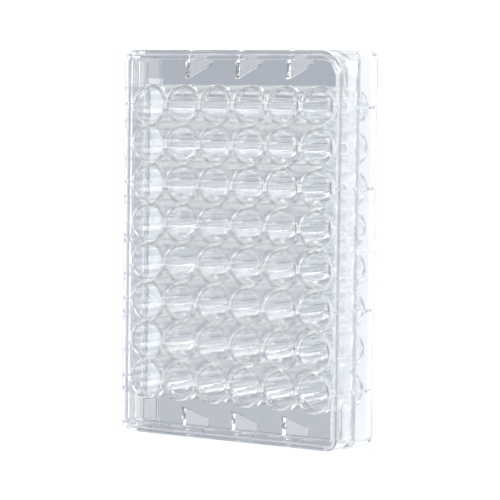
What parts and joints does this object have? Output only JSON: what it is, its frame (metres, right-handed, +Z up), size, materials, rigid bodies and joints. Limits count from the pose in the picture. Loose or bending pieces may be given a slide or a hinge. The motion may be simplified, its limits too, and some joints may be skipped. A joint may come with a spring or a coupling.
{
  "type": "well plate",
  "caption": "Clear plastic well plate with a stepped skirt and a grid of round flat-bottomed wells, closed by a shallow loose lid with one large corner.",
  "frame": {"origin": "middle of the rectangular footprint, on the plane that the skirt stands on", "axes": "+X along the length, +Y across it, +Z up out of the wells; the lid's large corner is at -X, +Y"},
  "size_m": [0.1278, 0.0854, 0.0218],
  "materials": {
    "well_plate": "clear, glossy",
    "lid": "clear, glossy"
  },
  "bodies": {
    "root": {"well_plate": "well_plate", "lid": "lid"}
  },
  "joints": []
}
